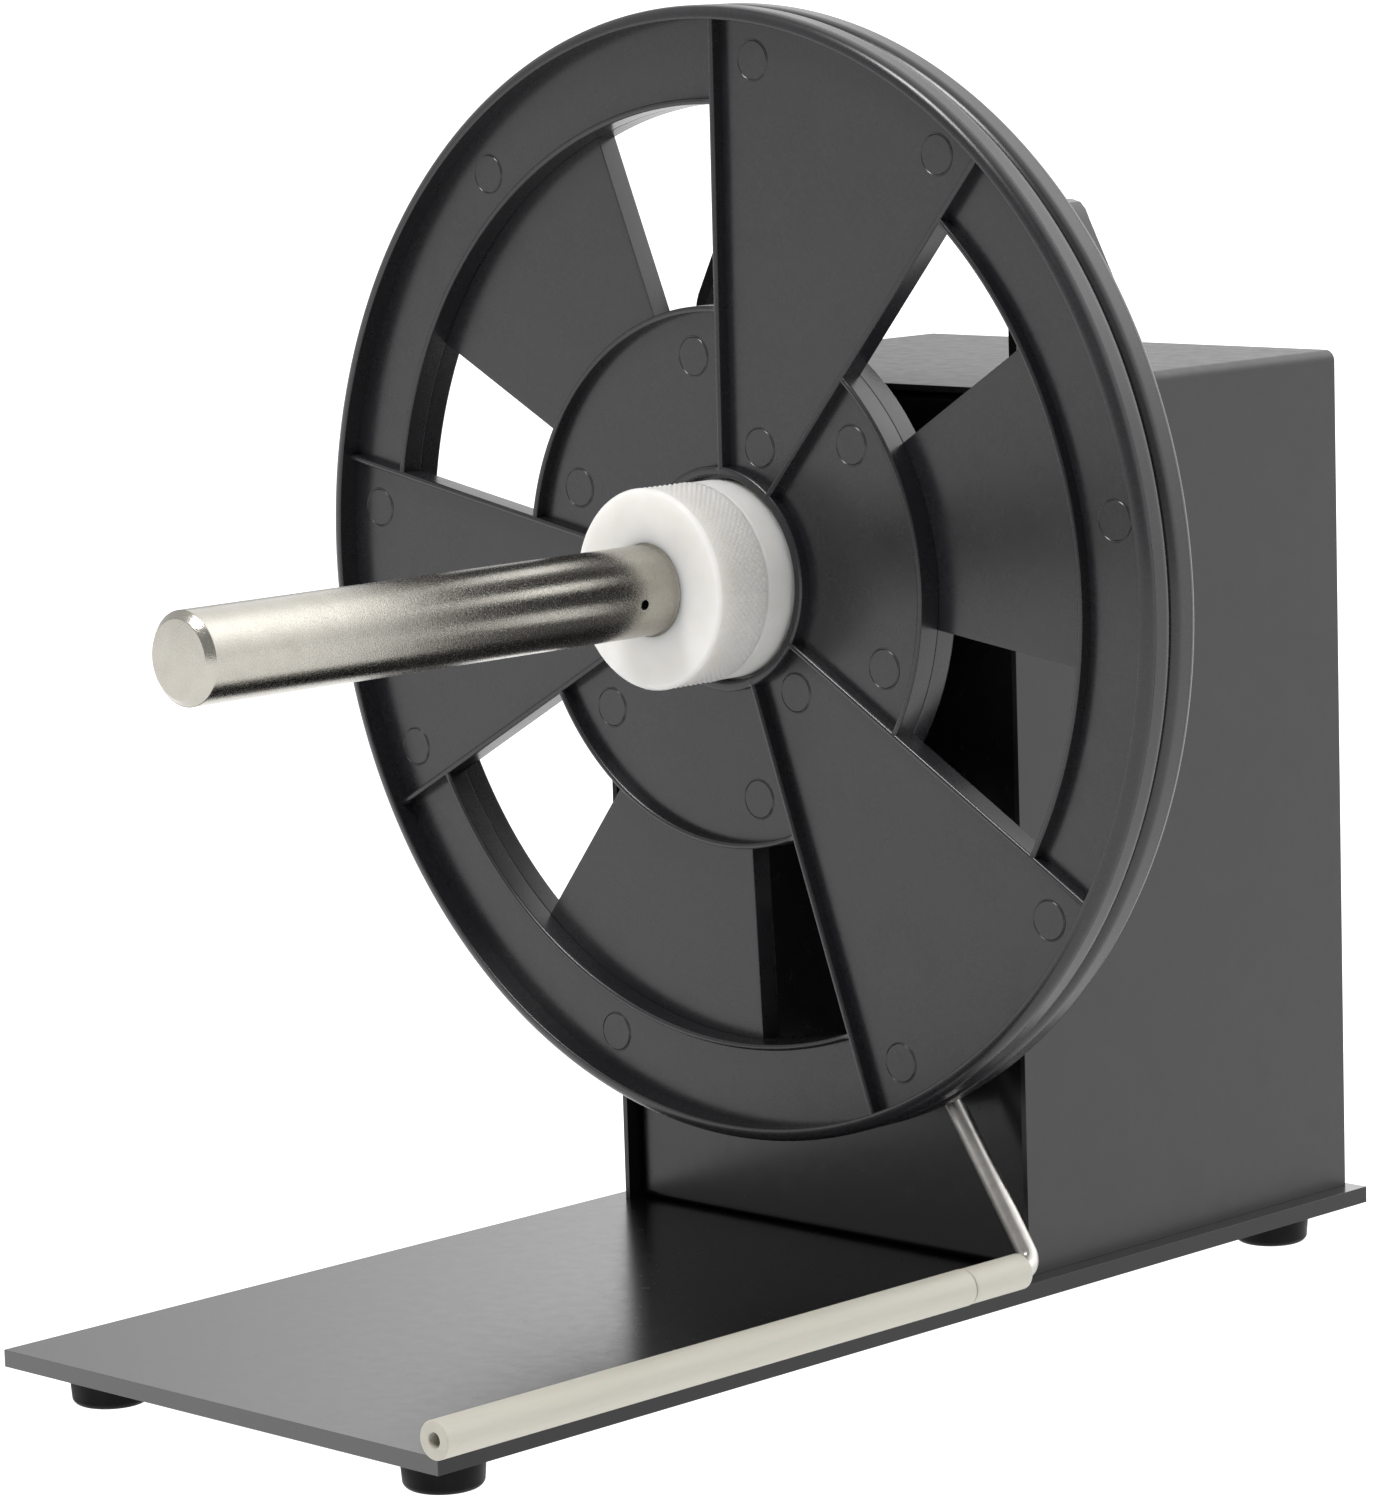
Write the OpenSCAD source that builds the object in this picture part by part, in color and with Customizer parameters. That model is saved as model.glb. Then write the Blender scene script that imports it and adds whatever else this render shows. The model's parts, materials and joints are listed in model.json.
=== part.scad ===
/* [Base] */
// Width of the base plate, left to right
base_w = 120; // [118:1:130]
// Depth of the base plate, front to back
base_d = 260; // [256:1:264]
// Thickness of the base plate
base_t = 3.3; // [2.5:0.1:3.5]
// Height of the rubber feet
foot_h = 7.3; // [6:0.1:9]
// Diameter of the rubber feet
foot_d = 15.6; // [12:0.1:18]
// Distance of a foot's centre from the plate's edges
foot_inset = 14; // [12:0.5:16]

/* [Housing] */
// Outer width of the cover
cover_w = 111.4; // [110:0.1:113]
// Height of the cover above the base plate
cover_h = 172.2; // [170:0.1:175]
// Sheet thickness of the cover and panels
sheet_t = 1.2; // [1:0.1:1.4]
// Outer bend radius of the sheet
bend_r = 2.2; // [2:0.1:3]
// How far the front panel sits behind the cover's front edge
recess = 3; // [2.5:0.5:4]

/* [Handle] */
// Distance between the outsides of the handle's legs
handle_w = 86.6; // [82:0.2:88]
// Height of the handle above the cover
handle_h = 32.8; // [30:0.2:36]
// Width of the handle's strip
handle_strip = 32.2; // [28:0.2:34]
// Thickness of the handle's strip
handle_t = 2; // [1.5:0.1:2.5]

/* [Reel] */
// Height of the spindle above the base plate
axis_h = 135.1; // [134:0.1:137]
// Diameter of the flanges
flange_d = 221; // [217:1:223]
// Thickness of one flange
flange_t = 7.03; // [6.93:0.02:7.13]
// Chamfer on the outer edges of a flange
rim_edge = 1.3; // [0.8:0.1:1.6]
// Outer radius of the flange windows
window_r = 91.5; // [90:0.5:94]
// Inner radius of the flange windows
hub_r = 53; // [51:0.5:55]
// Angle between a spoke's two ribs
spoke_deg = 40; // [36:1:44]
// Direction of the first front spoke, seen from the front
spoke_dir = 69.5; // [68:0.5:72]
// Direction of the first rear spoke, seen from the front
rear_dir = 12.25; // [8:0.25:16]
// Diameter of the spindle
spindle_d = 17.5; // [17:0.1:18]
// Diameter of the core hub
core_d = 39; // [38:0.5:40]

/* [Dancer] */
// Diameter of the bent rod
rod_d = 4; // [3.6:0.1:4.2]
// Length of the arm from its pivot to the roller
arm_len = 82; // [80:0.5:84]
// Diameter of the roller tube
roller_d = 7.2; // [7:0.1:7.3]

/* [Drive] */
// Teeth of the gear on the spindle
gear_teeth = 48; // [48]
// Teeth of the motor pinion
pinion_teeth = 16; // [16]
// Gear module
gear_m = 1.25; // [1.25]

/* [Hidden] */
$fn = 96;
eps = 0.02;
clr = 0.05;                       // fit clearance on a radius
base_z = foot_h;                  // underside of the plate
top_z = foot_h + base_t;          // upper face of the plate
axis_z = top_z + axis_h;          // spindle axis
cover_top = top_z + cover_h;
cover_f = 30;                     // front edge of the cover
cover_b = 128.5;                    // rear edge of the cover
panel_f = cover_f + recess;       // face of the front panel
panel_i = panel_f + sheet_t;      // its inner face
rear_o = cover_b - 1;             // outer face of the rear panel
rear_i = rear_o - sheet_t;
reel_y = 4.5;                     // front of the front rim
web_d = 4.5;                      // depth from the rim's front to the web
rib_d = 2.0;                      // depth from the rim's front to the ribs
rim_w = 2.7;
rib_w = 1.25;
R = flange_d/2;
sr = spindle_d/2;
seat_r = sr + 0.25;               // seat under the hub and flanges
back_gap = 0.04;                  // air between the two plain backs
fl2_y = reel_y + 2*flange_t + back_gap;     // rear of the rear rim
web2_b = fl2_y - web_d;                     // back of the rear web
tip_y = -base_d/2;
// dancer
arm_y = 25.5;
rr = rod_d/2;
bend = 3.5;
roll_z = top_z + 3.56;
roll_x = base_w/2 + 0.85;           // the roller lies against the plate's edge
arm_dir = 123.4;                  // direction from the roller up to the pivot
piv_x = roll_x + arm_len*cos(arm_dir);
piv_z = roll_z + arm_len*sin(arm_dir);
roll_f = -131.5;
seam_y = 5.5;
// drive
gr = gear_m*gear_teeth/2;
pr = gear_m*pinion_teeth/2;
mot_z = axis_z - gr - pr;
brk_f = 67; brk_b = 70;
// rear controls
ctl_z = top_z + 38;
sw_x = -24; jack_x = 22;
rk_y = rear_o - 3;
// under-plate screws: [x, y]
cov_pts = [[-47, 52], [47, 52], [-47, 104], [47, 104]];
pan_pts = [[-28, 42], [28, 42], [-28, 119], [28, 119]];
brk_pts = [[-26, 75], [26, 75]];
pcb = [[-32, 86], [32, 86], [-32, 108], [32, 108]];
han_y = [54, 70];
han_f = 46;                       // front edge of the handle
han_s = handle_w/2 + 4.6;         // handle screws, from the middle

function arc(cx, cy, r, a0, a1, n = 8) = [for (i = [0:n]) [cx + r*cos(a0 + (a1 - a0)*i/n), cy + r*sin(a0 + (a1 - a0)*i/n)]];
function invd(a) = tan(a)*180/PI - a;
function tooth_half(r, rb, rp, z, bl) = 90/z - bl/rp*180/PI/2 + invd(20) - invd(acos(min(1, rb/r)));
function gear_pts(z, m, bl, k = 4) = let (rp = m*z/2, rb = rp*cos(20), ra = rp + m, rf = rp - 1.25*m, r0 = max(rb, rf + 0.01))
  [for (i = [0:z - 1]) each concat(
    rb > rf ? [let (a = 360*i/z - tooth_half(r0, rb, rp, z, bl)) [rf*cos(a), rf*sin(a)]] : [],
    [for (j = [0:k]) let (r = r0 + (ra - r0)*j/k, a = 360*i/z - tooth_half(r, rb, rp, z, bl)) [r*cos(a), r*sin(a)]],
    [for (j = [k:-1:0]) let (r = r0 + (ra - r0)*j/k, a = 360*i/z + tooth_half(r, rb, rp, z, bl)) [r*cos(a), r*sin(a)]],
    rb > rf ? [let (a = 360*i/z + tooth_half(r0, rb, rp, z, bl)) [rf*cos(a), rf*sin(a)]] : [])];

// local +Z points to the front, local +Y up
module fwd(x, y, z) translate([x, y, z]) rotate([90, 0, 0]) children();
// local +Z points to the back
module aft(x, y, z) translate([x, y, z]) rotate([-90, 0, 0]) children();
// a rod along Y from y0 to y1
module ycyl(x, z, y0, y1, r) translate([x, y1, z]) rotate([90, 0, 0]) cylinder(r = r, h = y1 - y0);
module wedge(a0, a1, r) polygon(concat([[0, 0]], arc(0, 0, r, a0, a1, 12)));
// pan-head screw, head on local +Z
module screw(r, l, hr, hh) { translate([0, 0, -l]) cylinder(r = r, h = l + eps); cylinder(r = hr, h = hh*0.55); translate([0, 0, hh*0.55]) cylinder(r1 = hr, r2 = hr*0.72, h = hh*0.45); }
module cross_slot(hr, hh, w = 0.7) translate([0, 0, hh*0.5]) for (a = [0, 90]) rotate(a) translate([-hr*0.55, -w/2, 0]) cube([hr*1.1, w, hh]);
module pan(r, l, hr, hh) difference() { screw(r, l, hr, hh); cross_slot(hr, hh); }

// ---------- base ----------
module base_plate() color([0.1, 0.1, 0.11]) difference() {
  translate([-base_w/2, -base_d/2, base_z]) cube([base_w, base_d, base_t]);
  for (p = concat(cov_pts, pan_pts, brk_pts)) translate([p[0], p[1], base_z - 1]) cylinder(r = 1.6, h = base_t + 2, $fn = 32);
}
module rubber_feet() color([0.06, 0.06, 0.06])
  for (sx = [-1, 1], sy = [-1, 1]) translate([sx*(base_w/2 - foot_inset), sy*(base_d/2 - foot_inset), 0])
    rotate_extrude() polygon(concat([[0, 0.6], [3.2, 0.6], [3.8, 0]], arc(foot_d/2 - 2.1, 1.5, 1.5, -90, -8, 5), [[foot_d/2, foot_h], [0, foot_h]]));
module under_screws(pts, l) for (p = pts) translate([p[0], p[1], base_z]) rotate([180, 0, 0]) pan(1.5, l, 2.8, 1.9);
module cover_screws() color([0.7, 0.7, 0.72]) under_screws(cov_pts, 6.2);
module panel_screws() color([0.7, 0.7, 0.72]) under_screws(pan_pts, 6.2);
module bracket_screws() color([0.7, 0.7, 0.72]) under_screws(brk_pts, 8);

// ---------- housing ----------
function u_out(w, h, r) = concat([[-w/2, 0]], arc(-w/2 + r, h - r, r, 180, 90), arc(w/2 - r, h - r, r, 90, 0), [[w/2, 0]]);
module cover() color([0.12, 0.12, 0.13]) difference() {
  union() {
    translate([0, cover_b, top_z]) rotate([90, 0, 0]) linear_extrude(cover_b - cover_f) difference() {
      polygon(u_out(cover_w, cover_h, bend_r));
      translate([0, -1]) polygon(u_out(cover_w - 2*sheet_t, cover_h - sheet_t + 1, bend_r - sheet_t));
    }
    for (s = [-1, 1]) translate([s*(cover_w/2 - 7.5) - 7, cover_f + 18, top_z]) cube([14, cover_b - cover_f - 32, sheet_t]);
  }
  for (p = cov_pts) translate([p[0], p[1], top_z - 1]) cylinder(r = 1.6, h = 4, $fn = 32);
  for (s = [-1, 1], y = han_y) translate([s*han_s, y, cover_top - 4]) cylinder(r = 1.6, h = 8, $fn = 32);
  for (s = [-1, 1]) translate([s*(handle_w/2 - handle_t/2) - handle_t/2 - 0.15, han_f - 0.2, cover_top - 4]) cube([handle_t + 0.3, handle_strip + 0.4, 8]);
}
// sheet tray with rounded bends, face on local +Z at 0, going back to -d
module tray_solid(w, h, d, r) intersection() {
  translate([0, h + 5, 0]) rotate([90, 0, 0]) linear_extrude(h + 10) polygon(concat([[-w/2, -d]], arc(-w/2 + r, -r, r, 180, 90), arc(w/2 - r, -r, r, 90, 0), [[w/2, -d]]));
  rotate([90, 0, 90]) translate([0, 0, -w/2 - 5]) linear_extrude(w + 10) polygon(concat([[0, -d]], arc(r, -r, r, 180, 90), arc(h - r, -r, r, 90, 0), [[h, -d]]));
}
module tray(w, h, d, r, t) difference() {
  tray_solid(w, h, d, r);
  translate([0, t, -t]) tray_solid(w - 2*t, h - 2*t, d + 1, r - t);
}
pan_w = cover_w - 2*sheet_t - 0.8;
pan_h = cover_h - sheet_t - 0.6;
module front_panel() color([0.11, 0.11, 0.12]) difference() {
  fwd(0, panel_f, top_z) tray(pan_w, pan_h, 12, 1.8, sheet_t);
  ycyl(0, axis_z, panel_f - 2, panel_i + 2, 13.2);
  ycyl(piv_x, piv_z, panel_f - 2, panel_i + 2, 4.55);
  for (a = [45:90:315]) ycyl(18*cos(a), axis_z + 18*sin(a), panel_f - 2, panel_i + 2, 1.6, $fn = 32);
  for (p = pan_pts) if (p[1] < 60) translate([p[0], p[1], top_z - 1]) cylinder(r = 1.6, h = 4, $fn = 32);
}
module rear_panel() color([0.11, 0.11, 0.12]) difference() {
  aft(0, rear_o, top_z + pan_h) tray(pan_w, pan_h, 12, 1.8, sheet_t);
  translate([sw_x - 6.6, rear_i - 1, ctl_z - 9.7]) cube([13.2, 4, 19.4]);
  ycyl(jack_x, ctl_z, rear_i - 1, rear_o + 1, 4.1);
  for (i = [0:5], s = [-1, 1]) translate([s*22 - 13, rear_i - 1, axis_z - 22 + i*8]) cube([26, 4, 3]);
  for (p = pan_pts) if (p[1] > 60) translate([p[0], p[1], top_z - 1]) cylinder(r = 1.6, h = 4, $fn = 32);
}
// carry handle: bent strip seen along its width; the legs go through slots and the feet turn out under the top
hk = 13.1; hs = 0.56;
hx = handle_w/2; ht = hx - (handle_h - hk)*hs;
foot_l = 9.2;
foot_o = -sheet_t - handle_t;      // underside of a foot, from the cover's top
hside = [[ht - 2, handle_h - handle_t], [ht - 0.4, handle_h - handle_t - 1.6], [hx - handle_t, hk - 2.2], [hx - handle_t, foot_o],
  [hx + foot_l, foot_o], [hx + foot_l, -sheet_t], [hx, -sheet_t], [hx, hk - 2], [hx - 0.25, hk - 0.4], [hx - 0.8, hk + 1.2],
  [ht + 2.6, handle_h - 4], [ht + 1.6, handle_h - 1.9], [ht + 0.2, handle_h - 0.5], [ht - 1.8, handle_h]];
module handle_shape() polygon(concat(hside, [for (i = [len(hside) - 1:-1:0]) [-hside[i][0], hside[i][1]]]));
module carry_handle() color([0.1, 0.1, 0.11]) difference() {
  translate([0, han_f + handle_strip, cover_top]) rotate([90, 0, 0]) linear_extrude(handle_strip) handle_shape();
  for (s = [-1, 1], y = han_y) translate([s*han_s, y, cover_top + foot_o - 1]) cylinder(r = 1.6, h = handle_t + 2, $fn = 32);
}
module handle_screws() color([0.7, 0.7, 0.72]) for (s = [-1, 1], y = han_y) translate([s*han_s, y, cover_top]) pan(1.5, sheet_t + handle_t + 4, 2.8, 1.9);
module handle_nuts() color([0.7, 0.7, 0.72]) for (s = [-1, 1], y = han_y) translate([s*han_s, y, cover_top + foot_o - 2.4]) difference() { cylinder(r = 3.1, h = 2.4, $fn = 6); translate([0, 0, -1]) cylinder(r = 1.55, h = 5, $fn = 32); }

// ---------- bearings and bracket ----------
module bearing_housing() color([0.6, 0.6, 0.62]) difference() {
  union() { ycyl(0, axis_z, panel_i, panel_i + 5, 23); ycyl(0, axis_z, panel_i + 4, panel_i + 12, 16); }
  ycyl(0, axis_z, panel_i - 1, panel_i + 13, 11.05);
  for (a = [45:90:315]) ycyl(18*cos(a), axis_z + 18*sin(a), panel_i - 1, panel_i + 6, 1.55, $fn = 32);
}
module housing_screws() color([0.7, 0.7, 0.72]) for (a = [45:90:315]) fwd(18*cos(a), panel_f, axis_z + 18*sin(a)) pan(1.5, 5.6, 2.8, 1.9);
module bush(y0, y1, fy0, fy1) difference() {
  union() { ycyl(0, axis_z, y0, y1, 11); ycyl(0, axis_z, fy0, fy1, 13); }
  ycyl(0, axis_z, min(y0, fy0) - 1, max(y1, fy1) + 1, sr + 0.03);
}
module front_bearing() color([0.72, 0.52, 0.3]) bush(panel_f - 1, panel_i + 12.4, panel_i - 2.4, panel_i);
module rear_bearing() color([0.72, 0.52, 0.3]) bush(brk_f - 2, brk_b + 5, brk_f - 2, brk_f);
module bearing_bracket() color([0.62, 0.63, 0.65]) difference() {
  union() {
    translate([-38, brk_f, top_z]) cube([76, brk_b - brk_f, 160]);
    translate([-38, brk_f, top_z]) cube([76, 12, 3]);
  }
  ycyl(0, axis_z, brk_f - 1, brk_b + 1, 11.05);
  ycyl(0, mot_z, brk_f - 1, brk_b + 1, 6.1);
  for (a = [45:90:315]) ycyl(14*cos(a), mot_z + 14*sin(a), brk_f - 1, brk_b + 1, 1.6, $fn = 32);
  for (p = brk_pts) translate([p[0], p[1], top_z - 1]) cylinder(r = 1.55, h = 5, $fn = 32);
  for (s = [-1, 1]) ycyl(s*24, top_z + 40, brk_f - 1, brk_b + 1, 8);
}

// ---------- motor ----------
module gearbox() color([0.55, 0.56, 0.58]) difference() {
  union() { ycyl(0, mot_z, brk_b, brk_b + 22, 18.5); ycyl(0, mot_z, brk_f + 0.2, brk_b + 1, 6); }
  ycyl(0, mot_z, brk_f - 1, brk_b + 17, 3.05);
  for (a = [45:90:315]) ycyl(14*cos(a), mot_z + 14*sin(a), brk_b - 1, brk_b + 6, 1.55, $fn = 32);
}
module motor_can() color([0.5, 0.5, 0.52]) { ycyl(0, mot_z, brk_b + 22, brk_b + 50, 18); ycyl(0, mot_z, brk_b + 49, brk_b + 52, 6); }
module motor_terminals() color([0.85, 0.65, 0.3]) for (s = [-1, 1]) translate([s*11 - 2.4, brk_b + 50, mot_z - 0.4]) cube([4.8, 4, 0.8]);
module motor_screws() color([0.7, 0.7, 0.72]) for (a = [45:90:315]) fwd(14*cos(a), brk_f, mot_z + 14*sin(a)) pan(1.5, 8, 2.7, 1.8);

// ---------- electronics ----------
pcb_z = top_z + 8;
module control_board() color([0.05, 0.32, 0.16]) difference() {
  translate([-37, 81.5, pcb_z]) cube([74, 31, 1.6]);
  for (p = pcb) translate([p[0], p[1], pcb_z - 1]) cylinder(r = 1.6, h = 4, $fn = 32);
}
module board_capacitors() color([0.15, 0.15, 0.2]) for (x = [-24, -12]) translate([x, 98, pcb_z + 1.6]) { cylinder(r = 5, h = 13); translate([0, 0, 13 - eps]) cylinder(r = 4.4, h = 0.5); }
module terminal_block() color([0.1, 0.4, 0.2]) difference() {
  translate([1, 102, pcb_z + 1.6]) cube([26, 9, 10]);
  for (i = [0:4]) translate([4 + i*5, 106.5, pcb_z + 5]) { cylinder(r = 1.7, h = 10, $fn = 32); }
}
module heat_sink() color([0.7, 0.7, 0.72]) { translate([8, 84, pcb_z + 1.6]) cube([18, 12, 3]); for (i = [0:4]) translate([8 + i*4.15, 84, pcb_z + 4.6 - eps]) cube([1.4, 12, 10]); }
module board_standoffs() color([0.75, 0.62, 0.3]) for (p = pcb) translate([p[0], p[1], top_z]) difference() { cylinder(r = 3, h = 8, $fn = 6); translate([0, 0, 2]) cylinder(r = 1.55, h = 10, $fn = 32); }
module board_screws() color([0.7, 0.7, 0.72]) for (p = pcb) translate([p[0], p[1], pcb_z + 1.6]) pan(1.5, 5, 2.7, 1.8);

// ---------- rear controls ----------
module dc_inlet() color([0.08, 0.08, 0.08]) difference() {
  union() { ycyl(jack_x, ctl_z, rear_i - 12, rear_o + 1, 4.05 - clr); ycyl(jack_x, ctl_z, rear_o, rear_o + 2, 6.4); ycyl(jack_x, ctl_z, rear_o + 1.9, -roll_f, 5.2); }
  ycyl(jack_x, ctl_z, rear_o - 6, 140, 2.85);
}
module inlet_pin() color([0.8, 0.78, 0.72]) { ycyl(jack_x, ctl_z, rear_o - 6, -roll_f - 1.5, 0.95, $fn = 32); }
module inlet_nut() color([0.7, 0.7, 0.72]) difference() { fwd(jack_x, rear_i, ctl_z) cylinder(r = 6.6, h = 3, $fn = 6); ycyl(jack_x, ctl_z, rear_i - 5, rear_i + 1, 4.05); }
module switch_body() color([0.07, 0.07, 0.07]) difference() {
  union() { translate([sw_x - 7.6, rear_o, ctl_z - 10.8]) cube([15.2, 1.8, 21.6]); translate([sw_x - 6.45, rear_i - 18, ctl_z - 9.55]) cube([12.9, 18 + sheet_t + 0.2, 19.1]); }
  translate([sw_x - 5.4, rear_o - 11, ctl_z - 8.9]) cube([10.8, 20, 17.8]);
  translate([sw_x - 9, rk_y, ctl_z]) rotate([0, 90, 0]) cylinder(r = 1.26, h = 18, $fn = 32);
}
// rocker profile about its pivot: ends follow a circle
function rock() = concat(arc(0, 0, 8.6, 25, 55, 5), [[0, 5.9]], arc(0, 0, 8.6, 125, 155, 5), [[-6.5, -1.5], [0, -3.5], [6.5, -1.5]]);
module switch_rocker() color([0.09, 0.09, 0.09]) {
  translate([sw_x + 5.0, rk_y, ctl_z]) rotate([0, -90, 0]) linear_extrude(10) polygon(rock());
  translate([sw_x - 6.2, rk_y, ctl_z]) rotate([0, 90, 0]) cylinder(r = 1.2, h = 12.4, $fn = 32);
}

// ---------- reel ----------
// annular sector standing on local z0, height h, between two angles
module sector(r0, r1, a0, a1, z0, h) intersection() {
  difference() {
    translate([0, 0, z0]) cylinder(r = r1, h = h, $fn = 180);
    translate([0, 0, z0 - 1]) cylinder(r = r0, h = h + 2, $fn = 180);
  }
  translate([0, 0, z0 - 2]) linear_extrude(h + 4) wedge(a0, a1, 150);
}
// flange: rim front on local +Z at 0, plain back at -flange_t
module flange() difference() {
  union() {
    difference() {
      rotate_extrude($fn = 180) polygon([[0, -flange_t], [R - rim_edge, -flange_t], [R, -flange_t + rim_edge], [R, -rim_edge], [R - rim_edge, 0], [0, 0]]);
      translate([0, 0, -web_d]) cylinder(r = R - rim_w, h = web_d + 1, $fn = 180);
    }
    difference() {
      translate([0, 0, -web_d - 0.4]) cylinder(r = 22, h = web_d + 0.3 - rib_d);
      translate([0, 0, -web_d - 1]) cylinder(r = 20, h = web_d + 2);
    }
    for (k = [0:2]) rotate(120*k) {
      sector(window_r - 0.6, window_r + rib_w, spoke_deg/2 - 0.3, 120 - spoke_deg/2 + 0.3, -web_d - 0.4, web_d + 0.3 - rib_d);
      sector(hub_r - rib_w, hub_r + 0.6, spoke_deg/2 - 0.3, 120 - spoke_deg/2 + 0.3, -web_d - 0.4, web_d + 0.3 - rib_d);
      for (s = [-1, 1]) rotate(s*spoke_deg/2) translate([21, s > 0 ? -rib_w - 0.12 : 0.12, -web_d - 0.4]) cube([R - rim_w - 20.6, rib_w, web_d + 0.4 - rib_d]);
    }
  }
  for (k = [0:2]) rotate(120*k) sector(hub_r, window_r, spoke_deg/2, 120 - spoke_deg/2, -flange_t - 1, flange_t + 2);
  translate([0, 0, -flange_t - 1]) cylinder(r = seat_r + clr, h = flange_t + 2);
}
module front_flange() color([0.1, 0.1, 0.11]) fwd(0, reel_y, axis_z) rotate(spoke_dir) flange();
module rear_flange() color([0.1, 0.1, 0.11]) aft(0, fl2_y, axis_z) rotate(-rear_dir) flange();
hub_f = -13.2; knurl_b = 0.2;
module core_hub() color([0.95, 0.95, 0.93]) fwd(0, 0, axis_z) difference() {
  rotate_extrude() polygon([[0, -reel_y - web_d], [core_d/2 - 0.2, -reel_y - web_d], [core_d/2 - 0.2, -knurl_b - 0.5], [core_d/2 - 0.9, -knurl_b - 0.5], [core_d/2 - 0.9, -knurl_b],
    [core_d/2, -knurl_b], [core_d/2, -hub_f - 0.7], [core_d/2 - 0.7, -hub_f], [0, -hub_f]]);
  translate([0, 0, -30]) cylinder(r = seat_r + clr, h = 60);
  translate([0, 0, -hub_f - 0.3]) cylinder(r1 = seat_r + clr, r2 = seat_r + 0.36, h = 0.31);
}
module spindle() color([0.75, 0.73, 0.68]) difference() {
  fwd(0, 0, axis_z) rotate_extrude() polygon([[0, -80], [sr - 0.6, -80], [sr, -79.4], [sr, -78], [sr - 0.8, -78], [sr - 0.8, -76.7], [sr, -76.7], [sr, -23], [14, -23], [14, -web2_b], [seat_r, -web2_b], [seat_r, 13.4], [sr - 0.4, 13.4], [sr - 0.4, 14], [sr, 14], [sr, -tip_y - 1.3], [sr - 1.3, -tip_y], [0, -tip_y]]);
  translate([0, -22.3, axis_z]) rotate([0, 99, 0]) cylinder(r = 1, h = 20, center = true, $fn = 32);
}
module retaining_ring() color([0.3, 0.3, 0.32]) aft(0, 76.8, axis_z) linear_extrude(1.1) difference() { circle(r = sr + 2); circle(r = sr - 0.8 + clr); rotate(90) wedge(-25, 25, 20); }
module drive_gear() color([0.92, 0.9, 0.84]) difference() {
  union() {
    fwd(0, 58, axis_z) linear_extrude(8) polygon(gear_pts(gear_teeth, gear_m, 0.2));
    ycyl(0, axis_z, 57, 64.2, 14);
  }
  ycyl(0, axis_z, 48, 66, sr + clr);
  for (a = [0:60:300]) ycyl(21*cos(a), axis_z + 21*sin(a), 48, 60, 4.5, $fn = 48);
  translate([0, 61.2, axis_z + 5]) cylinder(r = 2.05, h = 12, $fn = 32);
}
module gear_set_screw() color([0.25, 0.25, 0.27]) difference() { translate([0, 61.2, axis_z + sr + clr]) cylinder(r = 2, h = 4.6, $fn = 32); translate([0, 61.2, axis_z + sr + 2.4]) cylinder(r = 1.1, h = 6, $fn = 6); }

// ---------- motor output ----------
module motor_shaft() color([0.72, 0.72, 0.74]) ycyl(0, mot_z, 49, brk_b + 16.5, 3);
module pinion_gear() color([0.8, 0.68, 0.38]) difference() {
  union() { fwd(0, 58.5, mot_z) linear_extrude(9) rotate(180/pinion_teeth) polygon(gear_pts(pinion_teeth, gear_m, 0.2)); ycyl(0, mot_z, 58, 64, 7); }
  ycyl(0, mot_z, 48, 66, 3 + clr);
  translate([0, 61.2, mot_z - 12]) cylinder(r = 1.55, h = 12, $fn = 32);
}
module pinion_set_screw() color([0.25, 0.25, 0.27]) difference() { translate([0, 61.2, mot_z - 6.9]) cylinder(r = 1.5, h = 3.8, $fn = 32); translate([0, 61.2, mot_z - 8]) cylinder(r = 0.8, h = 2.6, $fn = 6); }

// ---------- dancer ----------
module pivot_bush() color([0.85, 0.84, 0.8]) difference() {
  union() { ycyl(piv_x, piv_z, panel_f - 1.4, panel_f, 6.4); ycyl(piv_x, piv_z, panel_f - 0.5, panel_f + 7, 4.5); }
  ycyl(piv_x, piv_z, panel_f - 3, panel_f + 9, rr + clr);
}
module sensor_bracket() color([0.62, 0.63, 0.65]) difference() {
  union() {
    translate([piv_x - 9, 50.5, piv_z - 10]) cube([20, 1.5, 19]);
    translate([piv_x - 9, panel_i, piv_z - 10]) cube([20, 17, 1.5]);
    translate([piv_x - 9, panel_i, piv_z - 20]) cube([20, 1.5, 11.5]);
  }
  ycyl(piv_x, piv_z, 49, 53, 3.55);
}
module tension_sensor() color([0.15, 0.2, 0.35]) difference() {
  union() { ycyl(piv_x, piv_z, 52, 61, 8.2); ycyl(piv_x, piv_z, 49, 53, 3.5); }
  ycyl(piv_x, piv_z, 48, 57.5, rr + clr);
}
// arm frame: origin at the roller end, local +X along the arm to the pivot, local +Z to the back
module arm_frame() translate([roll_x, arm_y, roll_z]) rotate([0, -arm_dir, 0]) rotate([-90, 0, 0]) children();
module elbow() rotate(-4) rotate_extrude(angle = 98) translate([bend, 0]) circle(r = rr + 0.02, $fn = 48);
module dancer_rod() color([0.66, 0.65, 0.62]) {
  ycyl(roll_x, roll_z, -126, arm_y - bend, rr, $fn = 48);
  ycyl(piv_x, piv_z, arm_y + bend, 57, rr, $fn = 48);
  arm_frame() {
    translate([bend, 0, 0]) rotate([0, 90, 0]) cylinder(r = rr, h = arm_len - 2*bend, $fn = 48);
    translate([bend, 0, -bend]) rotate([-90, 0, 0]) rotate([0, 0, 180]) elbow();
    translate([arm_len - bend, 0, bend]) rotate([-90, 0, 0]) elbow();
  }
}
module pivot_collar() color([0.66, 0.65, 0.62]) difference() { ycyl(piv_x, piv_z, 42, 48, 4.5); ycyl(piv_x, piv_z, 40, 50, rr + clr); }
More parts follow.
